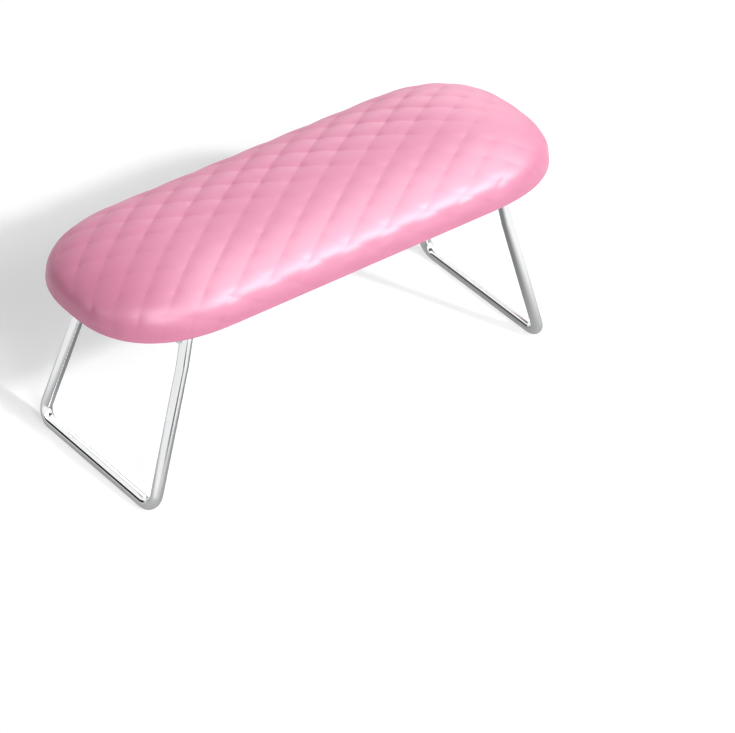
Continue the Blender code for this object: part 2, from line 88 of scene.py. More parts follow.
right, up, back = camera_axes()
camera = bpy.data.objects.new("camera", bpy.data.cameras.new("camera"))
camera.data.lens = LENS
camera.data.sensor_width = SENSOR
pose = Matrix((right, up, back)).transposed().to_4x4()
pose.translation = VIEW_TARGET + back * VIEW_DISTANCE
camera.matrix_world = pose
bpy.context.scene.collection.objects.link(camera)
bpy.context.scene.camera = camera
bpy.context.scene.view_settings.view_transform = "Standard"
print("camera at", [round(value, 3) for value in pose.translation])

# %% [markdown]
# ## Writing materials as sums
#
# A material is a net of nodes, and sums of masks are tedious to wire by hand. One small class wraps the
# output of a node, so that `1 - mask` or `mask * 0.3` adds the Math node for it. A second class holds one
# finish and has a single method for every other kind of node.


# %% Shader helpers
class Value:
    """The output of a node, which can stand in a sum."""

    def __init__(self, tree, socket):
        self.tree = tree
        self.socket = socket

    def maths(self, operation, first, second):
        node = self.tree.nodes.new("ShaderNodeMath")
        node.operation = operation
        for slot, value in zip(node.inputs, (first, second)):
            join(self.tree, slot, value)
        return Value(self.tree, node.outputs[0])

    def __add__(self, other):
        return self.maths("ADD", self, other)

    def __radd__(self, other):
        return self.maths("ADD", other, self)

    def __sub__(self, other):
        return self.maths("SUBTRACT", self, other)

    def __rsub__(self, other):
        return self.maths("SUBTRACT", other, self)

    def __mul__(self, other):
        return self.maths("MULTIPLY", self, other)

    def __rmul__(self, other):
        return self.maths("MULTIPLY", other, self)


def join(tree, slot, value):
    """Puts a number, a colour or a link into a socket."""
    if isinstance(value, Value):
        tree.links.new(value.socket, slot)
    else:
        slot.default_value = value


def add_node(tree, kind, settings, sockets, output=0):
    """Adds a node, sets it up, then fills its sockets. A ramp's stops are pairs of a place and a colour."""
    node = tree.nodes.new("ShaderNode" + kind)
    for name, value in settings.items():
        if name == "stops":
            points = node.color_ramp.elements
            while len(points) < len(value):
                points.new(1.0)
            for point, (position, colour) in zip(points, value):
                point.position = position
                point.color = (*colour, 1.0)
        else:
            setattr(node, name, value)
    for name, value in sockets.items():
        join(tree, node.inputs[name], value)
    return Value(tree, node.outputs[output])


class Finish:
    """A Principled finish that is built up node by node."""

    def __init__(self, name, constants):
        self.material = bpy.data.materials.new(name)
        self.material.use_nodes = True
        self.tree = self.material.node_tree
        self.shader = self.tree.nodes["Principled BSDF"]
        for name, value in constants.items():
            self.shader.inputs[name].default_value = value

    def node(self, kind, settings=None, sockets=None, output=0):
        return add_node(self.tree, kind, settings or {}, sockets or {}, output)

    def here(self):
        """The place on the piece, in metres."""
        return self.node("TexCoord", output="Object")

    def feed(self, name, value):
        join(self.tree, self.shader.inputs[name], value)

    def relief(self, height, distance):
        """A fine relief, so many metres deep."""
        sockets = {"Height": height, "Distance": distance, "Strength": 1.0}
        self.feed("Normal", self.node("Bump", sockets=sockets))


def blend_colours(finish, share, first, second):
    """The first colour where share is 0 and the second where it is 1."""
    node = finish.node("Mix", {"data_type": "RGBA"}).socket.node
    # The node's sockets for numbers and vectors come before those for colours.
    join(finish.tree, node.inputs["Factor"], share)
    join(finish.tree, node.inputs[6], (*first, 1.0))
    join(finish.tree, node.inputs[7], (*second, 1.0))
    return Value(finish.tree, node.outputs[2])


def mix_shaders(finish, share, first, second):
    """Ends the material in the first shader where share is 0 and the second where it is 1."""
    mixed = finish.node("MixShader", sockets={"Fac": share})
    node = mixed.socket.node
    finish.tree.links.new(first, node.inputs[1])
    finish.tree.links.new(second, node.inputs[2])
    finish.tree.links.new(mixed.socket, finish.tree.nodes["Material Output"].inputs["Surface"])


# %% [markdown]
# ## Floor and light
#
# The rest stands on a plain white table. Boxes at the right and behind model the diamonds and throw no
# shadow. Two boxes in front throw the soft shadows on the table behind, and a low one fills in the near
# side. The reflectors light nothing: they are only seen in gloss, and one of them lies as a pale band on
# the near shoulder. The table is a real surface that takes the shadows. The camera sees it a little
# brighter than the object does, as in a picture whose background has been cleaned.

# %% Floor
FLOOR_REACH = 3.0
FLOOR_SIDES = 96
FLOOR_COLOUR = (0.98, 0.98, 0.98, 1.0)
FLOOR_SHOWN = (1.10, 1.10, 1.10, 1.0)


def stage_object(name, mesh, material):
    """A piece of the studio, which is no part of the object."""
    made = bpy.data.objects.new(name, mesh)
    mesh.materials.append(material)
    bpy.context.scene.collection.objects.link(made)
    return made


def floor_material():
    """White, and a little brighter for the camera than for the object."""
    constants = {"Base Color": FLOOR_COLOUR, "Roughness": 0.9, "Specular IOR Level": 0.0}
    finish = Finish("white_table", constants)
    shown = finish.node("BsdfDiffuse", sockets={"Color": FLOOR_SHOWN})
    seen = finish.node("LightPath", output="Is Camera Ray")
    mix_shaders(finish, seen, finish.shader.outputs[0], shown.socket)
    return finish.material


bm = bmesh.new()
bmesh.ops.create_circle(bm, cap_ends=True, segments=FLOOR_SIDES, radius=FLOOR_REACH)
mesh = bpy.data.meshes.new("floor")
bm.to_mesh(mesh)
bm.free()
floor = stage_object("floor", mesh, floor_material())
print("floor radius", FLOOR_REACH, "m")

# %% World
AMBIENT = 0.10


def light_world():
    """White where it is seen, also in chrome, and dim as a lamp, so that the boxes shape the pad."""
    world = bpy.data.worlds.new("studio")
    world.use_nodes = True
    tree = world.node_tree
    seen = add_node(tree, "LightPath", {}, {}, "Is Camera Ray")
    seen = seen + add_node(tree, "LightPath", {}, {}, "Is Glossy Ray")
    seen = seen + add_node(tree, "LightPath", {}, {}, "Is Transmission Ray")
    background = tree.nodes["Background"]
    background.inputs["Color"].default_value = (1.0, 1.0, 1.0, 1.0)
    join(tree, background.inputs["Strength"], seen * (1 - AMBIENT) + AMBIENT)
    bpy.context.scene.world = world


light_world()


# %% Soft boxes
LAMP_DISTANCE = 5.0
LAMP_AIM = Vector((0.0, 0.0, 0.12))


def towards(azimuth, elevation):
    """Direction from the pad, turned in degrees from straight in front to the right, and raised."""
    turn, rise = math.radians(azimuth), math.radians(elevation)
    return Vector((math.sin(turn) * math.cos(rise), -math.cos(turn) * math.cos(rise), math.sin(rise)))


def soft_box(name, azimuth, elevation, size, level, shadow=False, in_gloss=True, lights=True):
    """A rectangular lamp aimed at the pad. Level is how brightly it alone lights a white card facing it.

    A box that lights nothing is only seen in gloss, like a white reflector that is lit by itself.
    """
    lamp = bpy.data.lights.new(name, "AREA")
    lamp.shape = "RECTANGLE"
    lamp.size, lamp.size_y = size
    lamp.energy = level * (math.pi * LAMP_DISTANCE) ** 2
    lamp.use_shadow = shadow
    made = bpy.data.objects.new(name, lamp)
    away = towards(azimuth, elevation)
    made.location = LAMP_AIM + away * LAMP_DISTANCE
    made.rotation_euler = away.to_track_quat("Z", "Y").to_euler()
    made.visible_glossy = in_gloss
    made.visible_diffuse = lights
    made.visible_camera = False
    bpy.context.scene.collection.objects.link(made)
    print(name, "level", level)


soft_box("side_box", 92.0, 50.0, (4.0, 1.9), 0.28)
soft_box("low_box", 100.0, 24.0, (1.8, 1.2), 0.28, in_gloss=False)
soft_box("back_box", 172.0, 38.0, (2.5, 1.2), 0.26, in_gloss=False)
soft_box("front_box", -16.0, 38.0, (1.6, 1.4), 0.30, shadow=True, in_gloss=False)
soft_box("small_front_box", 14.0, 37.0, (0.30, 0.30), 0.42, shadow=True, in_gloss=False)
soft_box("fill_box", -20.0, 10.0, (3.0, 1.2), 0.08, in_gloss=False)
soft_box("band_reflector", 47.0, 43.0, (1.9, 1.1), 0.85, lights=False)
soft_box("high_reflector", 88.0, 56.0, (4.0, 2.2), 0.42, lights=False)
soft_box("end_reflector", 133.0, 16.0, (2.2, 1.6), 0.13, lights=False)
soft_box("rim_reflector", 28.0, 10.0, (3.0, 1.5), 0.20, lights=False)
soft_box("top_reflector", -20.0, 60.0, (3.2, 3.2), 0.70, lights=False)
soft_box("left_reflector", -104.0, 36.0, (2.0, 1.4), 0.12, lights=False)

# %% [markdown]
# ## Cards for the chrome
#
# Polished metal shows only what stands around it, so a photographer puts cards beside it. A black one
# gives the thin dark line along the foot bars. A dim glowing sheet under the pad is painted shadow: it
# stands for the pad's shadow on the table and gives the legs their shaded side. A darker strip on the
# table in front of the left leg is painted shade in the same way. Here the cards exist for reflections
# alone. They throw no shadow and the camera does not see them.

# %% Cards
WALL_TURN = -131.0
WALL_DISTANCE = 1.5
WALL_HALF = 0.60
WALL_TOP = 0.80
WALL_STEP = 0.26
WALL_BLEND = 0.20
WALL_GREY = 0.32
WALL_BLACK = 0.01
PATCH = (0.33, 0.23)
PATCH_CORE = 0.25
SHADOW_STRENGTH = 0.22
GREY_LIFT = 0.0008
SHADE_STRIP_STRENGTH = 0.10
STRIP_PLACE = (-0.225, -0.36, 0.0006)
STRIP_TURN = math.radians(76.0)
STRIP_SCALE = (0.9, 0.45, 1.0)


def card(name, corners, material):
    """A flat piece that only mirrors see."""
    mesh = bpy.data.meshes.new(name)
    mesh.from_pydata([tuple(corner) for corner in corners], [], [tuple(range(len(corners)))])
    made = stage_object(name, mesh, material)
    made.visible_camera = False
    made.visible_diffuse = False
    made.visible_transmission = False
    made.visible_shadow = False
    return made


def glowing(name, strength, cover):
    """A material that glows at a strength and is clear where cover is 0."""
    finish = Finish(name, {})
    glow = finish.node("Emission", sockets={"Strength": strength(finish)})
    clear = finish.node("BsdfTransparent")
    mix_shaders(finish, cover(finish), clear.socket, glow.socket)
    return finish.material


def wall_strength(finish):
    """Black above the step in height and grey below it."""
    height = finish.node("SeparateXYZ", sockets={"Vector": finish.here()}, output="Z")
    share = finish.node("MapRange", {"interpolation_type": "SMOOTHSTEP"},
                        {"Value": height, "From Min": WALL_STEP - WALL_BLEND, "From Max": WALL_STEP})
    return WALL_GREY - share * (WALL_GREY - WALL_BLACK)


def patch_cover(finish):
    """Whole in the middle under the pad and gone at its border."""
    scale = (1 / PATCH[0], 1 / PATCH[1], 0.0)
    scaled = finish.node("Mapping", {}, {"Vector": finish.here(), "Scale": scale})
    reach = finish.node("VectorMath", {"operation": "LENGTH"}, {"Vector": scaled}, "Value")
    return finish.node("MapRange", {"interpolation_type": "SMOOTHSTEP"},
                       {"Value": reach, "From Min": 1.0, "From Max": PATCH_CORE})


middle = towards(WALL_TURN, 0.0) * WALL_DISTANCE
sideways = towards(WALL_TURN + 90, 0.0) * WALL_HALF
rise = Vector((0.0, 0.0, WALL_TOP))
wall = [middle - sideways, middle + sideways, middle + sideways + rise, middle - sideways + rise]
card("black_card", wall, glowing("black_card", wall_strength, lambda finish: 1.0))
patch = [Vector((x * PATCH[0], y * PATCH[1], 0.0)) for x, y in ((-1, -1), (1, -1), (1, 1), (-1, 1))]
# A dim glowing sheet under the pad: painted shadow of the pad on the table, seen only in the chrome.
shadow_card = card("painted_shadow_card", patch, glowing("painted_shadow_card", lambda finish: SHADOW_STRENGTH, patch_cover))
shadow_card.location = (0.0, 0.0, GREY_LIFT)
# A darker glowing strip on the table in front of the left leg: painted shade, seen only in the chrome.
strip = card("painted_shade_strip", patch, glowing("painted_shade_strip", lambda finish: SHADE_STRIP_STRENGTH, patch_cover))
strip.location = STRIP_PLACE
strip.rotation_euler = (0.0, 0.0, STRIP_TURN)
strip.scale = STRIP_SCALE

# %% [markdown]
# ## The shape of the pad
#
# Seen from above, the pad is a long oval: two full, rounded ends on straight sides. It swells from a
# sharp lower edge over a steep shoulder to an almost flat crown. Both the outline and the section are
# superellipses, curves that lie between a circle and a rectangle and need one number each. The spine is
# the middle line between the two ends: every point of the pad is found by going out from the spine in
# some direction.

# %% Outline and section
low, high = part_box("cover")
EDGE_HEIGHT = low.z
PAD_RISE = high.z - low.z
HALF_LENGTH = (high.x - low.x) / 2
HALF_WIDTH = (high.y - low.y) / 2
END_REACH = 0.0775
END_FULLNESS = 2.54
CROWN_POWER = 2.0
SHOULDER_POWER = 3.0
SPINE = HALF_LENGTH - END_REACH
SECTION_POINTS = 401
REACH_SAMPLES = 30
TURNS = np.linspace(math.pi / 2, 0.0, SECTION_POINTS)
TINY = 1e-9


def outline_reach(angle, inset=0.0):
    """Distance from the spine to the pad's outline, drawn in by inset, in a direction of the plan."""
    along = np.abs(np.cos(angle)) / (END_REACH - inset)
    across = np.abs(np.sin(angle)) / (HALF_WIDTH - inset)
    return (along**END_FULLNESS + across**END_FULLNESS) ** (-1 / END_FULLNESS)


def section(turn, rise):
    """Spread (0 on the spine, 1 at the outline) and height above the edge, at a turn of the section."""
    spread = np.clip(np.cos(turn), 0.0, 1.0) ** (2 / CROWN_POWER)
    height = rise * np.clip(np.sin(turn), 0.0, 1.0) ** (2 / SHOULDER_POWER)
    return spread, height


def running_lengths(reach):
    """Lengths along the section, from the crown down, for an outline at this reach."""
    spread, height = section(TURNS, PAD_RISE)
    steps = np.hypot(np.diff(spread) * reach, np.diff(height))
    return np.concatenate(([0.0], np.cumsum(steps)))


REACHES = np.linspace(0.9 * HALF_WIDTH, 1.1 * END_REACH, REACH_SAMPLES)
LENGTHS = [running_lengths(reach) for reach in REACHES]


def sheet_reach(reach):
    """Length of cover from the spine to the lower edge where the outline is at this reach."""
    return np.interp(reach, REACHES, [lengths[-1] for lengths in LENGTHS])


def turn_at(length, reach):
    """Turn of the section where so much cover has been used, for an outline at this reach."""
    turns = np.array([np.interp(length, lengths, TURNS) for lengths in LENGTHS])
    place = (reach - REACHES[0]) / (REACHES[1] - REACHES[0])
    lower = np.clip(np.floor(place).astype(int), 0, len(REACHES) - 2)
    share = place - lower
    columns = np.arange(len(length))
    return turns[lower, columns] * (1 - share) + turns[lower + 1, columns] * share


print("pad", round(2 * HALF_LENGTH, 4), "by", round(2 * HALF_WIDTH, 4), "rising", round(PAD_RISE, 4))

# %% [markdown]
# ## The quilted sheet
#
# The diamonds are pressed into the leatherette before it is wrapped, so they lie on a flat sheet first.
# The sheet is a net of points whose lines run along the grooves, which keeps every groove crisp. It is
# cut along the line that ends up on the pad's lower edge, and a Delaunay triangulation joins the net to
# that line. The rows of diamonds run in a slight bow, as they do when a sheet is pulled over a pad by
# hand.

# %% Flat sheet
DIAMOND_LENGTH = 0.0290
DIAMOND_WIDTH = 0.0193
DIAMOND_SHIFT = -0.0097
DIAMOND_PHASE = 0.10
DIAMOND_BOW = 0.26
CELLS = 18
EDGE_ROUND = 0.0014
RIM_STEP = 0.0011
RIM_MARGIN = 0.0005


def rim_places():
    """Spine point and direction of each rim point, anticlockwise from the right end's near side."""
    arc = np.linspace(-math.pi / 2, math.pi / 2, int(math.pi * END_REACH / RIM_STEP))
    side = np.linspace(SPINE, -SPINE, int(2 * SPINE / RIM_STEP))[1:-1]
    up = np.full(len(side), math.pi / 2)
    centres = np.concatenate((np.full(len(arc), SPINE), side, np.full(len(arc), -SPINE), -side))
    angles = np.concatenate((arc, up, arc + math.pi, -up))
    return centres, angles


def from_spine(x, y):
    """Nearest point of the spine, and direction and distance from it."""
    centre = np.clip(x, -SPINE, SPINE)
    return centre, np.arctan2(y, x - centre), np.hypot(x - centre, y)


def lattice():
    """Points of the sheet along the diamonds' own directions, inside the rim."""
    cell_x = DIAMOND_LENGTH / 2 / CELLS
    cell_y = DIAMOND_WIDTH / 2 / CELLS
    half = sheet_reach(END_REACH) + SPINE
    count = int((half / cell_x + half / cell_y) / 2)
    steps = np.arange(-count, count + 1)
    first, second = (grid.ravel() for grid in np.meshgrid(steps, steps))
    x = DIAMOND_SHIFT + (first + second) * cell_x
    y = DIAMOND_PHASE * DIAMOND_WIDTH + (first - second) * cell_y - DIAMOND_BOW * x * x
    centre, angle, length = from_spine(x, y)
    inside = length < sheet_reach(outline_reach(angle)) - EDGE_ROUND - RIM_MARGIN
    return np.column_stack((x[inside], y[inside]))


rim_centres, rim_angles = rim_places()
rim_lengths = sheet_reach(outline_reach(rim_angles)) - EDGE_ROUND
rim = np.column_stack((rim_centres + rim_lengths * np.cos(rim_angles), rim_lengths * np.sin(rim_angles)))
inner = lattice()
points = [Vector(point) for point in np.vstack((rim, inner))]
cut = geometry.delaunay_2d_cdt(points, [], [list(range(len(rim)))], 1, TINY)
flat = np.array([tuple(point) for point in cut[0]])
sheet_faces = [list(face) for face in cut[2]]
print("sheet:", len(flat), "points,", len(sheet_faces), "triangles, rim of", len(rim))

# %% [markdown]
# ## Draping and embossing
#
# A length along the sheet becomes the same length along the pad, so the diamonds near the lower edge keep
# their size while they turn down over the shoulder. Each point is then pushed in along the pad's own
# normal by the depth of the quilting: nothing over the crown of a diamond, most where two grooves cross.
# From crown to groove the section is a parabola, so the tone runs evenly over each diamond and breaks off
# at the groove. The crowns lie a little to the left of the middle. On the far half the quilting has its
# full depth and fades almost away where the cover is pulled tight over the edge. On the near half, where
# the photograph shows it fainter, it keeps about half the depth all the way down. On both it ends just
# above the rounded edge.

# %% Drape
QUILT_DEPTH = 0.0012
CROSS_SHARE = 0.40
CROWN_PLACE = 0.45
QUILT_START = 0.010
QUILT_FULL = 0.028
NEAR_QUILT = 0.50
NEAR_REACH = 0.035
NEAR_EDGE_QUILT = 0.55
FAR_EDGE_QUILT = 0.15


def drape(x, y):
    """Place on the smooth pad, its outward normal, and the length of sheet left to the edge."""
    centre, angle, length = from_spine(x, y)
    reach = outline_reach(angle)
    turn = turn_at(length, reach)
    spread, height = section(turn, PAD_RISE)
    along = np.cos(angle)
    across = np.sin(angle)
    out = spread * reach
    place = np.column_stack((centre + out * along, out * across, EDGE_HEIGHT + height))
    out_x = np.abs(out * along) / END_REACH
    out_y = np.abs(out * across) / HALF_WIDTH
    sideways = CROWN_POWER * np.maximum(spread, TINY) ** (CROWN_POWER - END_FULLNESS)
    normal = np.column_stack(
        (
            np.sign(along) * sideways * out_x ** (END_FULLNESS - 1) / END_REACH,
            np.sign(across) * sideways * out_y ** (END_FULLNESS - 1) / HALF_WIDTH,
            SHOULDER_POWER * (height / PAD_RISE) ** (SHOULDER_POWER - 1) / PAD_RISE,
        )
    )
    normal /= np.linalg.norm(normal, axis=1)[:, None]
    return place, normal, sheet_reach(reach) - length


def smooth_step(share):
    """Eases from 0 to 1 without a corner at either end."""
    share = np.clip(share, 0.0, 1.0)
    return share * share * (3 - 2 * share)


def dip(turns):
    """Depth across one row of diamonds: 1 at both grooves and 0 over the crowns."""
    place = turns - np.floor(turns) - CROWN_PLACE
    return (place / np.where(place < 0, CROWN_PLACE, 1 - CROWN_PLACE)) ** 2


def groove(x, y):
    """Depth of the quilting at a point of the sheet: 1 where grooves cross and 0 over the crowns."""
    along = (x - DIAMOND_SHIFT) / DIAMOND_LENGTH
    across = (y + DIAMOND_BOW * x * x) / DIAMOND_WIDTH - DIAMOND_PHASE
    first, second = dip(along + across), dip(along - across)
    return (1 - CROSS_SHARE) * (first + second) / 2 + CROSS_SHARE * first * second


place, normal, left = drape(flat[:, 0], flat[:, 1])
inward = smooth_step((left - QUILT_START) / (QUILT_FULL - QUILT_START))
near = smooth_step(0.5 - flat[:, 1] / NEAR_REACH)
at_edge = FAR_EDGE_QUILT + (NEAR_EDGE_QUILT - FAR_EDGE_QUILT) * near
share = at_edge + (1 - (1 - NEAR_QUILT) * near - at_edge) * inward
share *= np.clip((left - EDGE_ROUND) / EDGE_ROUND, 0.0, 1.0)
depth = groove(flat[:, 0], flat[:, 1]) * share
top = place - normal * (QUILT_DEPTH * depth)[:, None]
print("deepest groove", round(float(depth.max()) * QUILT_DEPTH * 1000, 2), "mm")

# %% [markdown]
# ## The turned-in edge
#
# At the bottom the cover bends round the board's edge and is glued to its underside. Round the two ends
# the material is too long for the smaller circle underneath, so it is laid in small pleats. The rim of
# the draped sheet is carried on in rings: round the edge, along the underside with its pleats, over the
# cut edge of the material and back up inside, so that the piece is one closed skin with a thickness. The
# inner skin lies about 2.2 mm under the outer one, just outside the foam of the construction model.

# %% Rings under and inside the pad
COVER_WALL = 0.0012
TURN_IN = 0.009
CORE_INSET = 0.0022
PLEATS = 13
PLEAT_DEPTH = 0.0005
PLEAT_START = 0.0018
PLEAT_FULL = 0.0045
PLEAT_SWAY = 0.7
SWAY_WAVES = 3
EDGE_STEPS = 6
UNDER_STEPS = 9
INNER_TURNS = np.linspace(0.25, 1.45, 9)


def ring(inset, height):
    """Points at an inset from the outline and a height, one for each point of the rim."""
    reach = outline_reach(rim_angles, inset)
    x = rim_centres + reach * np.cos(rim_angles)
    y = reach * np.sin(rim_angles)
    return np.column_stack((x, y, np.broadcast_to(height, x.shape)))


def pleats(inset):
    """How far the underside is folded in, at an inset, round the two ends."""
    at_end = np.abs(rim_centres) > SPINE - TINY
    bend = np.where(at_end, np.abs(np.cos(rim_angles)), 0.0)
    fold = np.abs(np.sin(PLEATS * rim_angles + PLEAT_SWAY * np.sin(SWAY_WAVES * rim_angles)))
    grown = np.clip((inset - PLEAT_START) / (PLEAT_FULL - PLEAT_START), 0.0, 1.0)
    return PLEAT_DEPTH * grown * np.sqrt(bend) * (1 - fold) ** 2


def under_rings():
    """Rings from the rim round the edge, in under the board, and up inside to the crown."""
    made = []
    for angle in np.linspace(0.0, math.pi / 2, EDGE_STEPS)[1:]:
        inset = EDGE_ROUND * (1 - math.cos(angle))
        made.append(ring(inset, EDGE_HEIGHT + EDGE_ROUND * (1 - math.sin(angle))))
    for inset in np.linspace(EDGE_ROUND, TURN_IN, UNDER_STEPS)[1:]:
        made.append(ring(inset, EDGE_HEIGHT + pleats(inset)))
    for inset in (TURN_IN, (TURN_IN + CORE_INSET) / 2, CORE_INSET):
        made.append(ring(inset, EDGE_HEIGHT + COVER_WALL + pleats(inset)))
    rise = PAD_RISE - CORE_INSET
    for turn in INNER_TURNS:
        spread, height = section(turn, rise)
        whole = ring(CORE_INSET, EDGE_HEIGHT + height)
        whole[:, 0] = rim_centres + (whole[:, 0] - rim_centres) * spread
        whole[:, 1] *= spread
        made.append(whole)
    return made


def ring_faces(first, count, rings):
    """Quads between rings of count points that follow each other, from the ring at index first."""
    faces = []
    for number in range(rings):
        start = first + number * count
        for index in range(count):
            ahead = (index + 1) % count
            faces.append((start + index, start + count + index, start + count + ahead, start + ahead))
    return faces


def mesh_object(name, verts, faces):
    """A smooth piece from its points and faces, with its faces pointing out."""
    mesh = bpy.data.meshes.new(name)
    mesh.from_pydata([tuple(vert) for vert in verts], [], faces)
    bm = bmesh.new()
    bm.from_mesh(mesh)
    bmesh.ops.recalc_face_normals(bm, faces=bm.faces)
    bm.to_mesh(mesh)
    bm.free()
    mesh.shade_smooth()
    made = bpy.data.objects.new(name, mesh)
    bpy.context.scene.collection.objects.link(made)
    return made


def make_cover():
    """The draped sheet and its rings, joined at the rim."""
    rings = under_rings()
    count = len(rim)
    order = {tuple(np.round(point, 9)): index for index, point in enumerate(flat)}
    rim_index = [order[tuple(np.round(point, 9))] for point in np.float32(rim).astype(float)]
    verts = np.vstack([top] + rings)
    faces = list(sheet_faces)
    start = len(top)
    for index in range(count):
        ahead = (index + 1) % count
        faces.append((rim_index[index], start + index, start + ahead, rim_index[ahead]))
    faces += ring_faces(start, count, len(rings) - 1)
    last = start + (len(rings) - 1) * count
    faces.append([last + index for index in range(count)])
    return mesh_object("quilted_cover", verts, faces)


def mark_groove_shade(piece):
    """Keeps the depth of the quilting at each point, which the finish uses as painted shade in the grooves:
    0 underneath and inside.
    """
    pressed = np.zeros(len(piece.data.vertices))
    pressed[:len(depth)] = depth
    piece.data.attributes.new("pressed", "FLOAT", "POINT").data.foreach_set("value", pressed)


cover = make_cover()
mark_groove_shade(cover)
print("cover:", len(cover.data.vertices), "points,", len(cover.data.polygons), "faces")

# %% [markdown]
# ## Leatherette
#
# The cover is a pink coated fabric with a soft gloss. Three things make it more than a flat colour: a
# fine grain of rounded pebbles, which breaks up the highlights, a cloudy unevenness of the dye, and a
# painted shade that darkens the colour in the grooves, most where two grooves cross. The grain is worked
# out from the place on the pad, so it needs no unwrapping.

# %% Leatherette
PINK = (0.700, 0.222, 0.365)
DEEP_PINK = (0.650, 0.180, 0.320)
PEBBLE = 0.0007
PEBBLE_DEPTH = 0.00003
CLOUD_SCALE = 28.0
CREASE_SCALE = 900.0
CLOUD_SHARE = 0.7
CREASE_SHARE = 0.25
GROOVE_SHADE_SHARE = 0.6
DEEP_SHARE = 0.15
GLOSS_ROUGHNESS = 0.37


def make_leatherette():
    """Pink coated fabric: pebbled, a little cloudy, and darkened in the grooves by painted shade."""
    finish = Finish("leatherette", {"Specular IOR Level": 0.85})
    here = finish.here()
    cells = {"feature": "SMOOTH_F1"}
    pebbles = finish.node("TexVoronoi", cells, {"Vector": here, "Scale": 1 / PEBBLE, "Smoothness": 0.6})
    cloud = finish.node("TexNoise", {}, {"Vector": here, "Scale": CLOUD_SCALE, "Detail": 3.0})
    creases = finish.node("TexNoise", {}, {"Vector": here, "Scale": CREASE_SCALE, "Detail": 2.0})
    pressed = finish.node("Attribute", {"attribute_name": "pressed"}, output="Fac")
    unevenness = (cloud - 0.5) * CLOUD_SHARE + (creases - 0.5) * CREASE_SHARE
    # The depth of the quilting darkens the pink in the grooves: painted shade, most where two grooves
    # cross.
    tone = unevenness + pressed * GROOVE_SHADE_SHARE + DEEP_SHARE
    finish.feed("Base Color", blend_colours(finish, tone, PINK, DEEP_PINK))
    finish.feed("Roughness", GLOSS_ROUGHNESS + cloud * 0.06 + creases * 0.05)
    finish.relief((1 - pebbles) + creases * 0.5, PEBBLE_DEPTH)
    return finish.material


cover.data.materials.append(make_leatherette())
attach(cover, "pad")
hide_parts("cover")

# %% [markdown]
# ## Legs
#
# Each leg is one steel rod, bent into a flared U with a bar that rests on the table, and chromed. A curve
# with a bevel would do, but a tube that is built ring by ring along the rod's centre line gives full
# control of the chamfered ends and spends its points where the rod bends.

# %% Rod path
ROD_RADIUS = 0.00375
FOOT_SPREAD = 0.0258
FOOT_INSET = 0.0063
FOOT_BEND = 0.0090
KNEE_DROP = 0.02435
KNEE_NARROWING = 0.0098
KNEE_BEND = 0.0300
UPPER_LEAN = math.radians(12.5)
UPPER_FLARE = math.radians(6.3)
TOP_BEND = 0.0080
HUMP_SETBACK = 0.0007
HUMP_WIDTH = 0.0155
PIN_PROUD = 0.0028
BEND_STEPS = 16
ROD_SIDES = 40
END_CHAMFER = 0.0005
SHARP_ANGLE = math.radians(30)


def rounded_path(corners, radii):
    """Points along a line of corners, each rounded by an arc of its radius."""
    points = [corners[0]]
    for before, corner, after, radius in zip(corners, corners[1:], corners[2:], radii):
        into = (corner - before).normalized()
        out = (after - corner).normalized()
        turn = into.angle(out)
        first = corner - into * radius * math.tan(turn / 2)
        inward = (out - into * into.dot(out)).normalized()
        centre = first + inward * radius
        for step in range(BEND_STEPS + 1):
            angle = turn * step / BEND_STEPS
            points.append(centre + (into * math.sin(angle) - inward * math.cos(angle)) * radius)
    points.append(corners[-1])
    return points


def leg_path(side, pivot):
    """Centre line of a leg from the inner end of one pin, down, along the foot bar and up to the other."""
    foot = HALF_WIDTH - FOOT_INSET
    knee = foot - KNEE_NARROWING
    top = knee - KNEE_DROP * math.tan(UPPER_FLARE)
    pin = top - TOP_BEND - HUMP_SETBACK - HUMP_WIDTH - PIN_PROUD
    knee_reach = pivot.x + side * KNEE_DROP * math.tan(UPPER_LEAN)
    half = [
        Vector((pivot.x, pin, pivot.z)),
        Vector((pivot.x, top, pivot.z)),
        Vector((knee_reach, knee, pivot.z - KNEE_DROP)),
        Vector((knee_reach + side * FOOT_SPREAD, foot, ROD_RADIUS)),
    ]
    bends = [TOP_BEND, KNEE_BEND, FOOT_BEND]
    other = [Vector((corner.x, -corner.y, corner.z)) for corner in reversed(half)]
    return rounded_path(half + other, bends + bends[::-1])


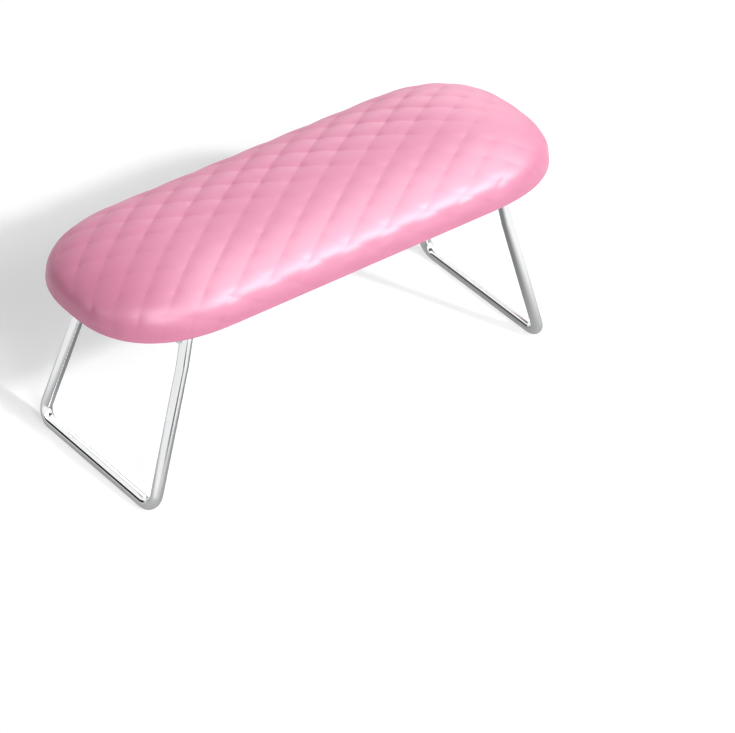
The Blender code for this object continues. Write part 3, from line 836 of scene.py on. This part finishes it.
# %% Rod mesh
def rod(name, path, radius):
    """A round rod along a path, with chamfered ends. No ring is twisted against the one before it."""
    first = (path[1] - path[0]).normalized()
    last = (path[-1] - path[-2]).normalized()
    path = [path[0], path[0] + first * END_CHAMFER] + path[1:-1] + [path[-1] - last * END_CHAMFER, path[-1]]
    radii = [radius - END_CHAMFER] + [radius] * (len(path) - 2) + [radius - END_CHAMFER]
    across = first.orthogonal().normalized()
    bm = bmesh.new()
    rings = []
    for index, (centre, size) in enumerate(zip(path, radii)):
        along = (path[min(index + 1, len(path) - 1)] - path[max(index - 1, 0)]).normalized()
        across = (across - along * across.dot(along)).normalized()
        over = along.cross(across)
        verts = []
        for step in range(ROD_SIDES):
            angle = 2 * math.pi * step / ROD_SIDES
            verts.append(bm.verts.new(centre + (across * math.cos(angle) + over * math.sin(angle)) * size))
        rings.append(verts)
    for before, after in zip(rings, rings[1:]):
        for step in range(ROD_SIDES):
            ahead = (step + 1) % ROD_SIDES
            bm.faces.new((before[step], before[ahead], after[ahead], after[step]))
    bm.faces.new(rings[0])
    bm.faces.new(rings[-1])
    bmesh.ops.recalc_face_normals(bm, faces=bm.faces)
    mesh = bpy.data.meshes.new(name)
    bm.to_mesh(mesh)
    bm.free()
    mesh.shade_smooth()
    mesh.set_sharp_from_angle(angle=SHARP_ANGLE)
    made = bpy.data.objects.new(name, mesh)
    bpy.context.scene.collection.objects.link(made)
    return made


# %% [markdown]
# ## Chrome
#
# Chrome has hardly a colour of its own: it shows the white table and room, the reflectors and the dark
# cards. It is a metal with a very low roughness. Handling leaves it a little uneven, so a faint cloud
# varies the roughness, and a much fainter ripple from polishing moves the reflections.

# %% Chrome legs
CHROME = (0.90, 0.91, 0.92, 1.0)
CHROME_ROUGHNESS = 0.045
SMEAR_ROUGHNESS = 0.05
POLISH_DEPTH = 0.00002


def make_chrome():
    """Bright plate, faintly smeared by handling."""
    finish = Finish("chrome", {"Base Color": CHROME, "Metallic": 1.0})
    here = finish.here()
    smears = finish.node("TexNoise", {}, {"Vector": here, "Scale": 60.0, "Detail": 4.0})
    ripple = finish.node("TexNoise", {}, {"Vector": here, "Scale": 150.0, "Detail": 1.0})
    finish.feed("Roughness", CHROME_ROUGHNESS + smears * SMEAR_ROUGHNESS)
    finish.relief(ripple, POLISH_DEPTH)
    return finish.material


chrome = make_chrome()
for joint in frame["joints"]:
    pivot = Vector(joint["pos_m"])
    side = math.copysign(1, pivot.x)
    node = "left_leg" if side < 0 else "right_leg"
    leg = rod("bent_" + node, leg_path(side, pivot), ROD_RADIUS)
    leg.data.materials.append(chrome)
    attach(leg, joint["child"])
    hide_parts(node)
    print(leg.name, "rides on", joint["child"])

# %% [markdown]
# ## The cloth underneath
#
# The underside is closed with a thin felted cloth, glued to the board and over the turned-in edge of the
# cover. It is a flat piece with a step near its border, so rings that follow the pad's outline suit it. A
# very slight unevenness keeps it from looking like a plate.

# %% Lining
LINING_MARGIN = 0.005
LINING_THICKNESS = 0.0008
LINING_RIPPLE = 0.00008
RIPPLE_ALONG = 310
RIPPLE_ACROSS = 170
RIPPLE_SWAY = 2
FIT = 0.0003
STEP_WIDTH = 0.0015
STEP_INSETS = [0.0055, 0.007, 0.0085, 0.0093, 0.0097, 0.01005, 0.0104, 0.0108, 0.0115]
INNER_INSETS = np.linspace(0.014, 0.060, 20)


def lining_height(inset):
    """Height of the cloth's middle at an inset: low over the turned-in edge, then up to the board."""
    border = EDGE_HEIGHT - FIT - LINING_THICKNESS / 2
    step = COVER_WALL + FIT
    return border + step * smooth_step((inset - TURN_IN - FIT) / STEP_WIDTH)


def make_lining():
    """Rings from the border in to the spine, closed there, and given the cloth's thickness."""
    insets = [LINING_MARGIN, *STEP_INSETS, *INNER_INSETS]
    count = len(rim)
    rings = []
    for inset in insets:
        points = ring(inset, lining_height(inset))
        sway = RIPPLE_SWAY * np.sin(RIPPLE_ACROSS * points[:, 1])
        points[:, 2] += LINING_RIPPLE * np.sin(RIPPLE_ALONG * points[:, 0] + sway)
        rings.append(points)
    faces = ring_faces(0, count, len(rings) - 1)
    faces.append([(len(rings) - 1) * count + index for index in range(count)])
    lining = mesh_object("felt_lining", np.vstack(rings), faces)
    solidify = lining.modifiers.new("cloth", "SOLIDIFY")
    solidify.thickness = LINING_THICKNESS
    solidify.offset = 0.0
    return lining


FELT = (0.055, 0.050, 0.052)
FELT_PALE = (0.10, 0.092, 0.095)
FELT_DEPTH = 0.0001


def make_felt():
    """Dark matt cloth of loose fibres."""
    finish = Finish("lining_felt", {"Roughness": 0.95, "Sheen Weight": 0.25, "Sheen Roughness": 0.6})
    here = finish.here()
    sockets = {"Vector": here, "Scale": 1400.0, "Detail": 6.0, "Distortion": 2.0}
    fibres = finish.node("TexNoise", {}, sockets)
    bonds = finish.node("TexVoronoi", {}, {"Vector": here, "Scale": 700.0})
    finish.feed("Base Color", blend_colours(finish, fibres, FELT, FELT_PALE))
    finish.relief(fibres + bonds * 0.5, FELT_DEPTH)
    return finish.material


lining = make_lining()
lining.data.materials.append(make_felt())
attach(lining, "pad")
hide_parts("bottom_lining")

# %% [markdown]
# ## Steel fittings, foam and board
#
# The brackets and screws keep the shapes of the construction model and only get their finish: zinc plate,
# which is a little duller than chrome and shows a faint mottle. The foam and the board are hidden inside
# the cover. They get their own finishes all the same, because they show when the pad is taken apart.

# %% Zinc plate, foam and board
ZINC = (0.62, 0.63, 0.66)
ZINC_PALE = (0.76, 0.77, 0.78)
ZINC_DEPTH = 0.00002
FOAM = (0.72, 0.64, 0.42)
FOAM_PALE = (0.90, 0.85, 0.66)
PORE_DEPTH = 0.0003
BOARD = (0.30, 0.18, 0.09)
BOARD_PALE = (0.54, 0.37, 0.22)
BOARD_GRAIN_DEPTH = 0.0001


def make_zinc():
    """Plated sheet with a faint mottle."""
    finish = Finish("zinc_plate", {"Metallic": 1.0})
    here = finish.here()
    mottle = finish.node("TexVoronoi", {}, {"Vector": here, "Scale": 400.0})
    drawn = finish.node("TexNoise", {}, {"Vector": here, "Scale": 260.0, "Detail": 5.0})
    finish.feed("Base Color", blend_colours(finish, mottle, ZINC, ZINC_PALE))
    finish.feed("Roughness", 0.24 + drawn * 0.2)
    finish.relief(drawn, ZINC_DEPTH)
    return finish.material


def make_foam():
    """Open-cell foam."""
    finish = Finish("open_foam", {"Roughness": 0.95})
    pores = finish.node("TexVoronoi", {}, {"Vector": finish.here(), "Scale": 1200.0})
    finish.feed("Base Color", blend_colours(finish, pores, FOAM, FOAM_PALE))
    finish.relief(pores, PORE_DEPTH)
    return finish.material


def make_fibreboard():
    """Raw board with its fibres along the length."""
    finish = Finish("fibreboard", {"Roughness": 0.85})
    stretched = finish.node("Mapping", {}, {"Vector": finish.here(), "Scale": (0.3, 1.0, 1.0)})
    fibres = finish.node("TexNoise", {}, {"Vector": stretched, "Scale": 900.0, "Detail": 8.0})
    finish.feed("Base Color", blend_colours(finish, fibres, BOARD, BOARD_PALE))
    finish.relief(fibres, BOARD_GRAIN_DEPTH)
    return finish.material


def coat(node, material):
    """Gives a node of the construction model its finish."""
    slots = frame["nodes"][node].material_slots
    for slot in slots:
        slot.link = "OBJECT"
        slot.material = material


zinc = make_zinc()
for node in frame["nodes"]:
    if "bracket" in node:
        coat(node, zinc)
coat("foam_pad", make_foam())
coat("base_board", make_fibreboard())
